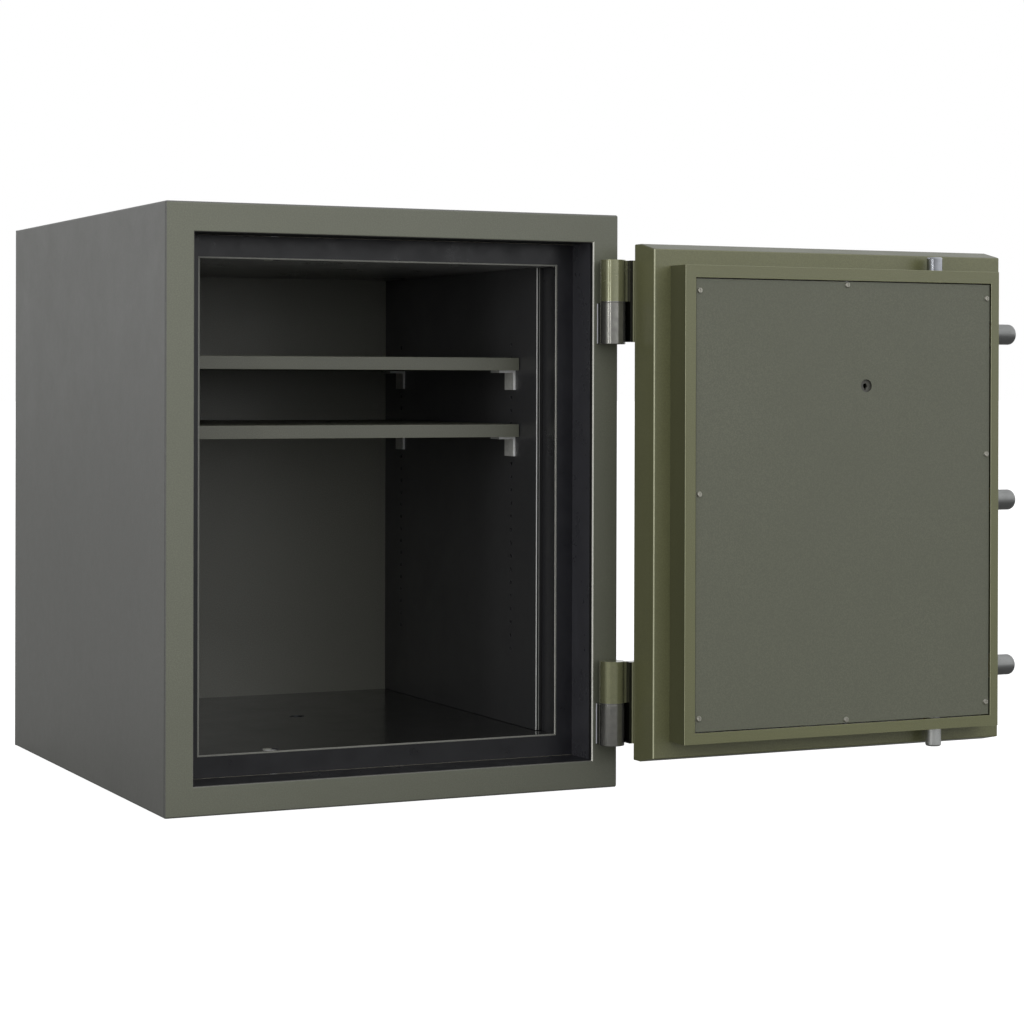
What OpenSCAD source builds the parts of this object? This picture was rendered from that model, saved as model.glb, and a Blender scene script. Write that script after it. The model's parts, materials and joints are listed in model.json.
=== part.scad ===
// Fire-lined gun safe: a steel cabinet with a fire fill, two loose shelves, and a swinging door that holds
// a combination lock and a rack-and-pinion boltwork with five round bolts.
// Axes: +Z up, the opening faces -Y, the origin is the centre of the cabinet's base.
// At rest the door stands open by door_angle and all five bolts are thrown.

/* [Cabinet] */
// Overall width of the cabinet
cab_w = 560; // [556:1:564]
// Overall height of the cabinet
cab_h = 680; // [680:1:720]
// Overall depth of the cabinet, without the hinges
cab_d = 645; // [620:5:700]
// Width of the front rim around the opening
rim_w = 33.5; // [33:0.1:34]
// Thickness of the outer steel shell
shell_t = 3; // [2:0.5:4]
// Thickness of the back panel
back_t = 4; // [3:0.5:6]
// How far the rim's folded lip reaches into the opening
lip_d = 8; // [6:1:12]
// Thickness of the folded lip
lip_t = 2; // [1.5:0.5:3]
// Depth of the rebate that takes the door
rebate_d = 52.5; // [52:0.1:53]

/* [Compartment] */
// Inner width of the liner at its mouth
liner_w = 446; // [444:1:446]
// Height of the liner's floor above the ground
floor_z = 60; // [59:0.5:61]
// Height of the liner's ceiling above the ground
ceiling_z = 620; // [619:0.5:622]
// Depth from the front face to the liner's back wall
liner_back = 562; // [540:1:570]
// Thickness of the liner sheet
liner_t = 2; // [1.5:0.5:2]
// How far the perforated side panels stand in from the liner
panel_in = 8.7; // [7:0.1:9]
// Depth from the front face to the front of the side panels
panel_front = 86.3; // [86:0.1:95]
// Radius of a shelf-clip hole
clip_hole_r = 2.5; // [2:0.1:3]
// Pitch of the shelf-clip holes
clip_pitch = 16.3; // [15:0.1:16.5]
// Number of holes in each column
clip_holes = 24; // [22:1:24]

/* [Shelves] */
// Which hole, counted from the lowest, holds the upper shelf's clips
shelf_hole = 20; // [14:1:21]
// Hole pitches between the two shelves
shelf_steps = 5; // [4:1:10]
// Depth of a shelf's folded edge
shelf_h = 15.6; // [14:0.1:20]
// Width of a shelf
shelf_w = 426; // [420:1:426]
// Depth from the front face to the front edge of the shelves
shelf_front = 133; // [120:1:140]
// Depth of a shelf, front to back
shelf_d = 415; // [400:1:420]

/* [Door] */
// Angle by which the door stands open at rest
door_angle = 180; // [0:15:180]
// Gap between the door and the opening on each side
door_gap = 2.6; // [2.4:0.1:2.8]
// How far the door's face stands out of the cabinet's front
door_proud = 1; // [0:0.5:1]
// Thickness of the door's front plate
plate_t = 6; // [4:0.5:8]
// Depth of the straight band around the door's edge
band_d = 16; // [12:1:20]
// How far the bevel draws in at the top and the bottom edge
bevel_z = 7; // [6:0.5:8]
// How far the bevel draws in at the free edge
bevel_x = 2.3; // [2.2:0.1:7]
// Depth from the cabinet's front to the door's ledge
ledge_y = 48; // [47:0.5:48]
// Depth from the cabinet's front to the face of the inner frame
frame_y = 84; // [84:0.5:85]
// Sheet thickness of the inner frame
frame_t = 2; // [1.5:0.5:2]
// Height of the handle's axis
handle_z = 395; // [390:1:400]
// Height of the dial's axis
dial_z = 500; // [500:0.5:501]
// Distance from the cabinet's centre to the handle and the dial, on the free side
axis_x = 26; // [24:1:28]

/* [Bolts] */
// Radius of a side bolt
bolt_r = 12.5; // [10:0.5:12.5]
// Radius of the top and the bottom bolt
end_bolt_r = 9.5; // [9:0.5:12.5]
// Throw of the three side bolts
side_throw = 34; // [32:0.5:34]
// Throw of the top and the bottom bolt
end_throw = 21; // [18:0.5:21]
// Height of the middle side bolt
bolt_z = 338; // [336:1:340]
// Spacing of the side bolts
bolt_pitch = 203.5; // [200:0.5:205]
// Distance from the cabinet's centre to the top and the bottom bolt, on the free side
end_bolt_x = 133; // [130:1:135]

/* [Hinges] */
// Distance from the cabinet's centre to the hinge axis
hinge_x = 264.5; // [264:0.5:265]
// Distance from the cabinet's front to the hinge axis
hinge_out = 16.5; // [16.5:0.1:17]
// Radius of a hinge knuckle
knuckle_r = 15; // [13:0.5:15]
// Length of one knuckle
knuckle_l = 49; // [40:1:50]
// Radius of a hinge pin
pin_r = 8; // [6:0.5:9]
// Height of the lower hinge's joint
hinge_low_z = 102.5; // [100:0.5:110]
// Height of the upper hinge's joint
hinge_high_z = 576; // [570:0.5:580]

/* [Hidden] */
$fn = 64;
fit = 0.05;             // radial clearance of a turning or sliding fit
touch = 0.02;           // radial clearance of a fixed fit

// Cabinet, worked out
open_w = cab_w - 2 * rim_w;
cab_back = cab_d - back_t;
breaker_t = 2.5;
ledge_t = 1.5;
joint = 0.3;            // gap between two boards of the fill
anchor_r = 7;
anchor_y = cab_d / 2 + 10;
keeper_wall = 2.5;      // wall of the tubes for the bolts and the anchor
keeper_gap = 1.4;
keeper_depth = 29;      // how far a thrown bolt can reach behind the liner
panel_t = 1.5;          // sheet of the side panels, and their gap to the liner's ends
panel_gap = 0.5;
shelf_t = 1.5;
column_front = 158;     // depth of the two columns of clip holes
column_back = 506;
column_z = (floor_z + ceiling_z) / 2 - (clip_holes - 1) / 2 * clip_pitch;
clip_drop = 17.2;       // from a shelf's underside to its clip's pin
shelf_top_z = column_z + shelf_hole * clip_pitch + clip_drop;
clip_w = 25;            // shelf clip: width, reach under the shelf, height, thickness and pin
clip_reach = 22;
clip_h = 24;
clip_t = 3;
clip_pin = 5;

// Hinges, worked out
washer_t = 1.5;
pin_down = 40;          // how far a pin reaches below and above the joint
pin_up = 38;
pin_room = 1;
lug_w = 13;             // half the width of the lug behind a cabinet knuckle, and its depth
lug_d = 10;
strap_x = 150;          // where a strap ends on the door
strap_thick = 16;
strap_thin = 8;
strap_flat = 18;        // length of the thick part, and of the thick part with the slope
strap_slope = 34;
strap_down = 47;        // how far a strap reaches below and above the joint
strap_up = 49;
strap_gap = 0.5;
web_w = 7;              // the web that joins a strap to its knuckle
web_in = 7;

// Door, worked out; x runs towards the hinge, and y is measured from the cabinet's front face
face_y = -door_proud;
door_x = open_w / 2 - door_gap;
door_z0 = rim_w + door_gap;
door_z1 = cab_h - rim_w - door_gap;
skin_t = 3;
flange_t = 2.5;
frame_x0 = -216;        // inner frame: free side, hinge side, bottom and top
frame_x1 = 222.3;
frame_z0 = floor_z + 2.5;
frame_z1 = ceiling_z - 2.5;
lip_thick = 1.5;
lip_free = 11.5;        // widths of the inner frame's lip
lip_hinge = 14;
lip_top = 14.5;
lip_bottom = 13;
cover_y0 = 80.6;
cover_t = 1.5;
cover_gap = 1.3;
board_t = 3;
board_y = ledge_y + board_t;
hole_x = -axis_x;
key_z = dial_z - 22;    // change-key hole: height, radius, and the shallow dish around it
key_r = 7.7;
dish_r = 16;
dish_d = 0.8;
window_in = 20;         // how far the opening in the door's back stands in from the inner frame
hard_in = 60;           // how far the hard plate reaches past the handle and the dial
hard_t = 6;
tube_r = 12.5;          // tube for the handle's shaft, its bush and the bush's flange
bush_r = 11.5;
bush_flange = 15;
bush_flange_t = 1.5;
dial_tube_r = 6.5;      // tube for the dial's spindle
tube_end = 44;
bolt_bush_wall = 2.5;
bolt_bush_l = 9;
post_r = 4.4;           // posts and screws that hold the inner cover
post_bore = 14;
cover_screw_r = 2;
cover_screw_l = 12;
cover_hole_r = 2.2;
screw_head_r = 3.6;
screw_top_r = 2.6;
screw_head_h = 1.7;
slot_w = 0.8;
slot_l = 4;
slot_floor = 0.9;

// Handle and dial, worked out; heights are measured outwards from the door's face
rose_r = 26;
rose_t = 4;
collar_r = 19;
collar_h = 8;
lever_hub_r = 15;
lever_h = 40;
lever_l = 105;
lever_w = 9;            // half the width of the lever's arm, and its thickness
lever_t = 12;
lever_gap = 0.5;
lever_cap = 6;          // thickness of the hub over the end of the shaft
dial_ring_r = 42;
dial_ring_top = 39;
dial_ring_t = 6;
dial_gap = 1;
dial_r = 36;
dial_top = 33;
dial_t = 9;
grip_r = 19;
grip_h = 27;
grip_cap = 8;           // thickness of the grip over the end of the spindle

// Boltwork, worked out
bolt_y = 67;
side_tip = -248;
top_tip = 634.5;
bottom_tip = 40;
tab_x = -163;           // where the side bolts meet the side bar
top_arm = 590;          // where the top and the bottom bolt meet their bars
bottom_arm = 82;
arm_w = 14;
tab_t = 6;
tab_w = 26;
tab_y0 = 54.5;          // depth of the tabs that carry the bolts
tab_y1 = 79.5;
layer_a = 55;           // depth of the two layers of bars
layer_b = 64;
bar_t = 6;
big_teeth = 22;
small_teeth = 14;
big_r = side_throw / (PI / 2);
small_r = end_throw / (PI / 2);
pressure = 25;
addendum = 0.8;         // height and depth of a tooth from the pitch line, in modules
dedendum = 1.05;
backlash = 0.12;
side_rack = [-9, 3];    // first and last tooth of the side rack and of the end racks
end_rack = [-6, 3];
shaft_r = 8;
shaft_end = 73;
hub_r = 10.8;           // hub between the boltwork plate and the small gear
clip_ring_r = 11;       // spring clip behind the small gear
clip_ring_t = 1.2;
clip_mouth = 2;
spindle_r = 3.8;
tip_r = 7;              // rounding of a side bolt's tip, and of the other two
end_tip_r = 2.5;
screw_r = 4;
head_r = 5.5;           // heads of the screws that hold the bolts
head_h = 5;
head_gap = 0.5;
lock_x0 = hole_x - 31;
lock_x1 = hole_x + 31;
lock_z0 = dial_z - 41;
lock_z1 = dial_z + 41;
lock_y1 = 76;
lock_wall = 3;
lock_lid = 2.5;
lock_floor = 2;
lock_boss_r = 4;
lock_screw_r = 1.5;
lock_head_r = 2.8;
lock_bolt_w = 10;       // lock bolt: half its width, its depths, and its gap in the case
lock_bolt_y0 = 53.5;
lock_bolt_y1 = 61.5;
lock_bolt_gap = 0.1;
lock_bolt_up = 19;
lock_bolt_out = 0.5;    // how far the lock bolt stands out of the case at rest
keyhole_r = 3;
notch_z = 445;
side_arm_top = 452;
wheel_r = 17;
wheel_y = 62.5;         // depth of the first wheel, thickness and spacing
wheel_t = 2.5;
wheel_pitch = 3.5;
gate_w = 1.6;
gate_d = 4;
gate_turn = 40;
gate_step = 105;
cam_r = 15;
cam_y = 73;
cam_t = 2.5;
lever_y0 = 54;          // lock lever: depths of its foot and its fence
lever_y1 = 61;
fence_y0 = 62;
fence_y1 = 75;
fence_z = 29.5;
lever_in = 9;
lever_bar = 3.5;
lever_foot_z = 16;
guide_z0 = 372;         // guides that hold the two end bars
guide_z1 = 398;
guide_top = 24.1;
guide_bottom = -60.1;
guide_hook = 6;
guide_t = 2;
guide_gap = 0.2;
side_guide_x0 = -92;    // guide of the side bar
side_guide_x1 = -66;
top_arm_x = 24;         // inner side of the top bar and of the bottom bar
bottom_arm_x = -60;
side_bar_w = 35;        // side bar: its width, and its reach past the outer bolts
side_bar_down = 20;
side_bar_up = 18;
thread_l = 20;          // length of the screws in the bolts
notch_gap = 0.3;
rack_down = 21;         // top bar beside the pinion, below and above the handle's height
rack_up = 45;

SCREWS = [
    [-199, 585], [-199, 395], [-199, 92],
    [202.5, 588], [202.5, 352], [202.5, 92],
    [1.5, 598], [1.5, 80.5]
];

// ---------- helpers ----------

// Puts y = 0 on the cabinet's front face
module at_front() {
    translate([0, -cab_d / 2, 0])
        children();
}

// Takes a piece of the door from the closed position to the rest position
module on_door() {
    at_front()
        translate([hinge_x, -hinge_out, 0])
            rotate([0, 0, door_angle])
                translate([-hinge_x, hinge_out, 0])
                    children();
}

// A box from its low corner to its high corner
module block(low, high) {
    translate(low)
        cube(high - low);
}

// A cylinder along +Y, from depth y0 to depth y1
module y_rod(x, z, r, y0, y1, r2 = -1) {
    translate([x, y0, z])
        rotate([-90, 0, 0])
            cylinder(h = y1 - y0, r1 = r, r2 = r2 < 0 ? r : r2);
}

// A cylinder along +X
module x_rod(y, z, r, x0, x1) {
    translate([x0, y, z])
        rotate([0, 90, 0])
            cylinder(h = x1 - x0, r = r);
}

// A cylinder along +Z
module z_rod(x, y, r, z0, z1) {
    translate([x, y, z0])
        cylinder(h = z1 - z0, r = r);
}

// A round bolt along +Z with a rounded tip at the top
module bolt(length, r, tip) {
    core = r - tip;
    rotate_extrude() {
        square([r, length - tip]);
        square([core, length]);
        translate([core, length - tip])
            intersection() {
                circle(tip);
                square(tip);
            }
    }
}

// A rectangular ring in the XZ plane: its inner edges, its widths and its depth
module ring(x0, x1, z0, z1, w, y0, y1) {
    difference() {
        block([x0 - w, y0, z0 - w], [x1 + w, y1, z1 + w]);
        block([x0, y0 - 1, z0], [x1, y1 + 1, z1]);
    }
}

// A box with a bevel at its free side, top and bottom, behind the depth yb
module bevelled(x0, x1, z0, z1, ya, yb, yc, cx, cz) {
    intersection() {
        translate([0, 0, z0])
            linear_extrude(z1 - z0)
                polygon([[x0, ya], [x1, ya], [x1, yc], [x0 + cx, yc], [x0, yb]]);
        translate([x0, 0, 0])
            rotate([90, 0, 90])
                linear_extrude(x1 - x0)
                    polygon([[ya, z0], [yb, z0], [yc, z0 + cz], [yc, z1 - cz], [yb, z1], [ya, z1]]);
    }
}

// ---------- gears ----------

// Angle between an involute's start and its point at radius r, for a base circle rb
function involute(r, rb) = let (a = acos(min(1, rb / r))) tan(a) * 180 / PI - a;

// Half the angle of a tooth at radius r
function half_angle(r, pitch_r, teeth) =
    90 / teeth - backlash / 2 / pitch_r * 180 / PI
    + involute(pitch_r, pitch_r * cos(pressure)) - involute(r, pitch_r * cos(pressure));

// Outline of a gear with a gap at angle 0
module gear_outline(pitch_r, teeth) {
    m = 2 * pitch_r / teeth;
    root = pitch_r - dedendum * m;
    tip = pitch_r + addendum * m;
    radii = [for (i = [0:5]) root + (tip - root) * i / 5];
    polygon([
        for (t = [0:teeth - 1]) let (mid = (t + 0.5) * 360 / teeth)
            each concat(
                [for (r = radii) r * [cos(mid - half_angle(r, pitch_r, teeth)),
                                      sin(mid - half_angle(r, pitch_r, teeth))]],
                [for (i = [5:-1:0]) let (r = radii[i])
                    r * [cos(mid + half_angle(r, pitch_r, teeth)),
                         sin(mid + half_angle(r, pitch_r, teeth))]]
            )
    ]);
}

// Rack teeth that point to -y from a pitch line on y = 0, with a tooth at x = 0
module rack_outline(pitch_r, teeth, first, last, depth) {
    m = 2 * pitch_r / teeth;
    half = PI * m / 4 - backlash / 2;
    for (i = [first:last])
        translate([i * PI * m, 0])
            polygon([
                [-half + addendum * m * tan(pressure), -addendum * m],
                [half - addendum * m * tan(pressure), -addendum * m],
                [half + dedendum * m * tan(pressure), dedendum * m],
                [half + dedendum * m * tan(pressure), depth],
                [-half - dedendum * m * tan(pressure), depth],
                [-half - dedendum * m * tan(pressure), dedendum * m]
            ]);
}

// Lays a drawing in the XZ plane, with its thickness along +Y from depth y0
module in_wall(y0, t) {
    translate([0, y0 + t, 0])
        rotate([90, 0, 0])
            linear_extrude(t)
                children();
}

// ---------- cabinet ----------

module outer_shell() {
    color("#6e7060") at_front() difference() {
        union() {
            difference() {
                block([-cab_w / 2, 0, 0], [cab_w / 2, cab_back, cab_h]);
                block([-cab_w / 2 + shell_t, shell_t, shell_t],
                      [cab_w / 2 - shell_t, cab_d, cab_h - shell_t]);
                block([-open_w / 2, -1, rim_w], [open_w / 2, shell_t + 1, cab_h - rim_w]);
            }
            ring(-open_w / 2, open_w / 2, rim_w, cab_h - rim_w, lip_t, shell_t / 2, lip_d);
        }
        z_rod(0, anchor_y, anchor_r + keeper_wall + touch, -1, shell_t + 1);
    }
}

module back_panel() {
    color("#66685a") at_front()
        block([-cab_w / 2, cab_back, 0], [cab_w / 2, cab_d, cab_h]);
}

// Where the fill and the keepers make room for a bolt, extra wider than the bolt itself
module keeper_places(extra, depth) {
    for (i = [-1:1])
        x_rod(bolt_y, bolt_z + i * bolt_pitch, bolt_r + extra,
              -liner_w / 2 - liner_t - depth, -liner_w / 2 + 1);
    z_rod(-end_bolt_x, bolt_y, end_bolt_r + extra, ceiling_z - 1, ceiling_z + liner_t + depth);
    z_rod(-end_bolt_x, bolt_y, end_bolt_r + extra, floor_z - liner_t - depth, floor_z + 1);
}

// One board of the fill, cut back from everything that passes through it
module board(low, high) {
    difference() {
        block(low, high);
        keeper_places(keeper_gap + keeper_wall + touch, keeper_depth + keeper_wall + joint);
        z_rod(0, anchor_y, anchor_r + keeper_wall + touch, 0, floor_z);
    }
}

// Boards between the shell and the liner: four behind the front rim, four around the liner, one at the back
module fire_fill() {
    x1 = cab_w / 2 - shell_t;
    z1 = cab_h - shell_t;
    rim_x = open_w / 2 + breaker_t;
    rim_z = rim_w - breaker_t;
    in_x = liner_w / 2 + liner_t;
    in_z0 = floor_z - liner_t;
    in_z1 = ceiling_z + liner_t;
    ya = rebate_d + ledge_t;
    yb = liner_back + liner_t;
    color("#b9b4a6") at_front() {
        board([-x1, shell_t, shell_t], [-rim_x, ya, z1]);
        board([rim_x, shell_t, shell_t], [x1, ya, z1]);
        board([-x1, ya + joint, shell_t], [-in_x, yb, z1]);
        board([in_x, ya + joint, shell_t], [x1, yb, z1]);
        board([-rim_x + joint, shell_t, shell_t], [rim_x - joint, ya, rim_z]);
        board([-rim_x + joint, shell_t, cab_h - rim_z], [rim_x - joint, ya, z1]);
        board([-in_x + joint, ya + joint, shell_t], [in_x - joint, yb, in_z0]);
        board([-in_x + joint, ya + joint, in_z1], [in_x - joint, yb, z1]);
        board([-x1, yb + joint, shell_t], [x1, cab_back, z1]);
    }
}

module breaker_frame() {
    color("#1e1e21") at_front() {
        ring(-open_w / 2, open_w / 2, rim_w, cab_h - rim_w, breaker_t, lip_d, rebate_d);
        ring(-liner_w / 2 - liner_t, liner_w / 2 + liner_t, floor_z - liner_t, ceiling_z + liner_t,
             open_w / 2 - liner_w / 2 - liner_t + breaker_t, rebate_d, rebate_d + ledge_t);
    }
}

module inner_liner() {
    color("#3a3b34") at_front() difference() {
        block([-liner_w / 2 - liner_t, rebate_d, floor_z - liner_t],
              [liner_w / 2 + liner_t, liner_back + liner_t, ceiling_z + liner_t]);
        block([-liner_w / 2, rebate_d - 1, floor_z], [liner_w / 2, liner_back, ceiling_z]);
        keeper_places(keeper_gap, liner_t);
        z_rod(0, anchor_y, anchor_r + keeper_wall + touch, floor_z - liner_t - 1, floor_z + 1);
    }
}

// A tray of folded sheet against the right wall, with two columns of clip holes
module side_panel() {
    x0 = liner_w / 2 - panel_in;
    x1 = liner_w / 2;
    y1 = liner_back - panel_gap;
    difference() {
        block([x0, panel_front, floor_z + panel_gap], [x1, y1, ceiling_z - panel_gap]);
        block([x0 + panel_t, panel_front + panel_t, floor_z], [x1 + 1, y1 - panel_t, ceiling_z]);
        for (y = [column_front, column_back], i = [0:clip_holes - 1])
            x_rod(y, column_z + i * clip_pitch, clip_hole_r, x0 - 1, x0 + panel_t + 1);
    }
}

module left_side_panel() {
    color("#33342f") at_front() mirror([1, 0, 0]) side_panel();
}

module right_side_panel() {
    color("#2a2b28") at_front() side_panel();
}

// One clip on the right wall: an angle with a pin that sits in a hole of the panel
module shelf_clip(y, z) {
    x1 = liner_w / 2 - panel_in;
    block([x1 - clip_t, y - clip_w / 2, z - clip_h], [x1, y + clip_w / 2, z]);
    block([x1 - clip_reach, y - clip_w / 2, z - clip_t], [x1, y + clip_w / 2, z]);
    x_rod(y, z - clip_drop, clip_hole_r - touch, x1 - clip_t / 2, x1 + clip_pin);
}

module shelf_clips() {
    color("#9a9c98") at_front()
        for (side = [0, 1], y = [column_front, column_back], n = [0, shelf_steps])
            mirror([side, 0, 0])
                shelf_clip(y, shelf_top_z - n * clip_pitch);
}

// A folded pan, open below
module shelf(z) {
    y1 = shelf_front + shelf_d;
    at_front() difference() {
        block([-shelf_w / 2, shelf_front, z], [shelf_w / 2, y1, z + shelf_h]);
        block([-shelf_w / 2 + shelf_t, shelf_front + shelf_t, z - 1],
              [shelf_w / 2 - shelf_t, y1 - shelf_t, z + shelf_h - shelf_t]);
    }
}

module upper_shelf() {
    color("#65675a") shelf(shelf_top_z);
}

module lower_shelf() {
    color("#65675a") shelf(shelf_top_z - shelf_steps * clip_pitch);
}

// A steel cup behind each bolt hole of the liner
module bolt_keepers() {
    color("#8d8f90") at_front() difference() {
        keeper_places(keeper_gap + keeper_wall, keeper_depth + keeper_wall);
        keeper_places(keeper_gap, keeper_depth);
        block([-liner_w / 2 - liner_t, 0, floor_z - liner_t],
              [liner_w / 2 + liner_t, cab_d, ceiling_z + liner_t]);
        block([-cab_w / 2, 0, 0], [cab_w / 2, rebate_d + ledge_t, cab_h]);
    }
}

module anchor_tube() {
    color("#7d7f80") at_front() difference() {
        z_rod(0, anchor_y, anchor_r + keeper_wall, 0, floor_z);
        z_rod(0, anchor_y, anchor_r, -1, floor_z + 1);
    }
}

// The cabinet's half of both hinges
module lower_hinge_knuckles() {
    color("#757670") at_front()
        for (z = [hinge_low_z, hinge_high_z])
            difference() {
                union() {
                    z_rod(hinge_x, -hinge_out, knuckle_r, z - knuckle_l - washer_t / 2, z - washer_t / 2);
                    block([hinge_x - lug_w, -lug_d, z - knuckle_l - washer_t / 2],
                          [hinge_x + lug_w, 0, z - washer_t / 2]);
                }
                z_rod(hinge_x, -hinge_out, pin_r + touch, z - pin_down, z);
            }
}

module hinge_pins() {
    color("#b4b6b8") at_front()
        for (z = [hinge_low_z, hinge_high_z])
            z_rod(hinge_x, -hinge_out, pin_r, z - pin_down, z + pin_up);
}

module hinge_washers() {
    color("#c2a45c") at_front()
        for (z = [hinge_low_z, hinge_high_z])
            difference() {
                z_rod(hinge_x, -hinge_out, knuckle_r, z - washer_t / 2, z + washer_t / 2);
                z_rod(hinge_x, -hinge_out, pin_r + fit, z - 1, z + 1);
            }
}

// ---------- door, drawn closed ----------

module door_skin() {
    inner_y1 = ledge_y - flange_t;
    bevel_y = ledge_y - face_y - band_d;
    inner = (inner_y1 - face_y - band_d) / bevel_y;
    color("#6f7058") on_door() difference() {
        bevelled(-door_x, door_x, door_z0, door_z1, face_y, face_y + band_d, ledge_y, bevel_x, bevel_z);
        bevelled(-door_x + skin_t, door_x - skin_t, door_z0 + skin_t, door_z1 - skin_t,
                 face_y + plate_t, face_y + band_d, inner_y1, bevel_x * inner, bevel_z * inner);
        block([frame_x0 + window_in, inner_y1 - 1, frame_z0 + window_in],
              [frame_x1 - window_in, ledge_y + 1, frame_z1 - window_in]);
        y_rod(hole_x, handle_z, shaft_r + fit, face_y - 1, face_y + plate_t + 1);
        y_rod(hole_x, dial_z, spindle_r + 1, face_y - 1, face_y + plate_t + 1);
    }
}

module door_fill() {
    inner_y1 = ledge_y - flange_t;
    bevel_y = ledge_y - face_y - band_d;
    inner = (inner_y1 - face_y - band_d) / bevel_y;
    color("#b9b4a6") on_door() difference() {
        bevelled(-door_x + skin_t, door_x - skin_t, door_z0 + skin_t, door_z1 - skin_t,
                 face_y + plate_t, face_y + band_d, inner_y1, bevel_x * inner, bevel_z * inner);
        hard_plate_body();
        y_rod(hole_x, handle_z, tube_r + touch, 0, ledge_y);
        y_rod(hole_x, dial_z, dial_tube_r + touch, 0, ledge_y);
    }
}

module hard_plate_body() {
    y0 = face_y + plate_t;
    block([hole_x - hard_in, y0, handle_z - hard_in], [hole_x + hard_in, y0 + hard_t, dial_z + hard_in]);
}

module hard_plate() {
    color("#56585a") on_door() difference() {
        hard_plate_body();
        y_rod(hole_x, handle_z, shaft_r + 1, 0, ledge_y);
        y_rod(hole_x, dial_z, spindle_r + 1, 0, ledge_y);
    }
}

module boltwork_plate() {
    color("#8a8c88") on_door() difference() {
        block([frame_x0 + frame_t, ledge_y, frame_z0 + frame_t],
              [frame_x1 - frame_t, board_y, frame_z1 - frame_t]);
        y_rod(hole_x, handle_z, bush_r + touch, ledge_y - 1, board_y + 1);
        y_rod(hole_x, dial_z, dial_tube_r + touch, ledge_y - 1, board_y + 1);
    }
}

// A folded frame on the ledge: four walls with round bolt holes, and a lip around the cover
module door_frame() {
    color("#72735c") on_door() difference() {
        block([frame_x0, ledge_y, frame_z0], [frame_x1, frame_y, frame_z1]);
        block([frame_x0 + frame_t, ledge_y - 1, frame_z0 + frame_t],
              [frame_x1 - frame_t, frame_y - lip_thick, frame_z1 - frame_t]);
        block([frame_x0 + lip_free, ledge_y, frame_z0 + lip_bottom],
              [frame_x1 - lip_hinge, frame_y + 1, frame_z1 - lip_top]);
        for (i = [-1:1])
            x_rod(bolt_y, bolt_z + i * bolt_pitch, bolt_r + fit, frame_x0 - 1, frame_x0 + frame_t + 1);
        z_rod(-end_bolt_x, bolt_y, end_bolt_r + fit, frame_z0 - 1, frame_z0 + frame_t + 1);
        z_rod(-end_bolt_x, bolt_y, end_bolt_r + fit, frame_z1 - frame_t - 1, frame_z1 + 1);
    }
}

// Rods on the axes of the five bolts, from the frame's walls inwards, extra wider than the bolts
module bush_places(extra, start, end) {
    for (i = [-1:1])
        x_rod(bolt_y, bolt_z + i * bolt_pitch, bolt_r + extra,
              frame_x0 + frame_t + start, frame_x0 + frame_t + end);
    z_rod(-end_bolt_x, bolt_y, end_bolt_r + extra, frame_z0 + frame_t + start, frame_z0 + frame_t + end);
    z_rod(-end_bolt_x, bolt_y, end_bolt_r + extra, frame_z1 - frame_t - end, frame_z1 - frame_t - start);
}

module bolt_bushes() {
    color("#b08d4a") on_door() difference() {
        bush_places(bolt_bush_wall, 0, bolt_bush_l);
        bush_places(fit, -1, bolt_bush_l + 1);
    }
}

module inner_cover() {
    y1 = cover_y0 + cover_t;
    color("#5f6055") on_door() difference() {
        block([frame_x0 + lip_free + cover_gap, cover_y0, frame_z0 + lip_bottom + cover_gap],
              [frame_x1 - lip_hinge - cover_gap, y1, frame_z1 - lip_top - cover_gap]);
        for (s = SCREWS)
            y_rod(s[0], s[1], cover_hole_r, cover_y0 - 1, y1 + 1);
        y_rod(hole_x, key_z, key_r, cover_y0 - 1, y1 + 1);
        y_rod(hole_x, key_z, dish_r - 5 * dish_d, y1 - dish_d, y1 + dish_d / 4, dish_r + dish_d * 5 / 4);
    }
}

module cover_posts() {
    color("#8a8c88") on_door()
        for (s = SCREWS)
            difference() {
                y_rod(s[0], s[1], post_r, board_y, cover_y0);
                y_rod(s[0], s[1], cover_screw_r + touch, cover_y0 - post_bore, cover_y0 + 1);
            }
}

// Pan-head screws with a cross recess
module cover_screws() {
    head_y = cover_y0 + cover_t;
    color("#9b9c98") on_door()
        for (s = SCREWS)
            difference() {
                union() {
                    y_rod(s[0], s[1], cover_screw_r, cover_y0 - cover_screw_l, head_y + screw_head_h / 2);
                    y_rod(s[0], s[1], screw_head_r, head_y, head_y + screw_head_h, screw_top_r);
                }
                for (size = [[slot_l, slot_w], [slot_w, slot_l]])
                    block([s[0] - size[0] / 2, head_y + slot_floor, s[1] - size[1] / 2],
                          [s[0] + size[0] / 2, head_y + screw_head_h + 1, s[1] + size[1] / 2]);
            }
}

// The door's half of both hinges: a capped knuckle on a strap that is welded to the door's face.
// The strap is thick beside the knuckles and thins out along the door.
module upper_hinge_knuckles() {
    x1 = hinge_x - knuckle_r - strap_gap;
    y0 = face_y - strap_thick;
    y1 = face_y - strap_thin;
    strap = [[strap_x, face_y], [x1, face_y], [x1, y0], [x1 - strap_flat, y0],
             [x1 - strap_slope, y1], [strap_x, y1]];
    color("#737556") on_door()
        for (z = [hinge_low_z, hinge_high_z])
            difference() {
                union() {
                    z_rod(hinge_x, -hinge_out, knuckle_r, z + washer_t / 2, z + washer_t / 2 + knuckle_l);
                    translate([0, 0, z - strap_down])
                        linear_extrude(strap_down + strap_up)
                            polygon(strap);
                    block([x1 - 1, y0, z + washer_t / 2], [x1 + web_w, face_y - web_in, z + strap_up]);
                }
                z_rod(hinge_x, -hinge_out, pin_r + fit, z - 1, z + pin_up + pin_room);
            }
}

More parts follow.
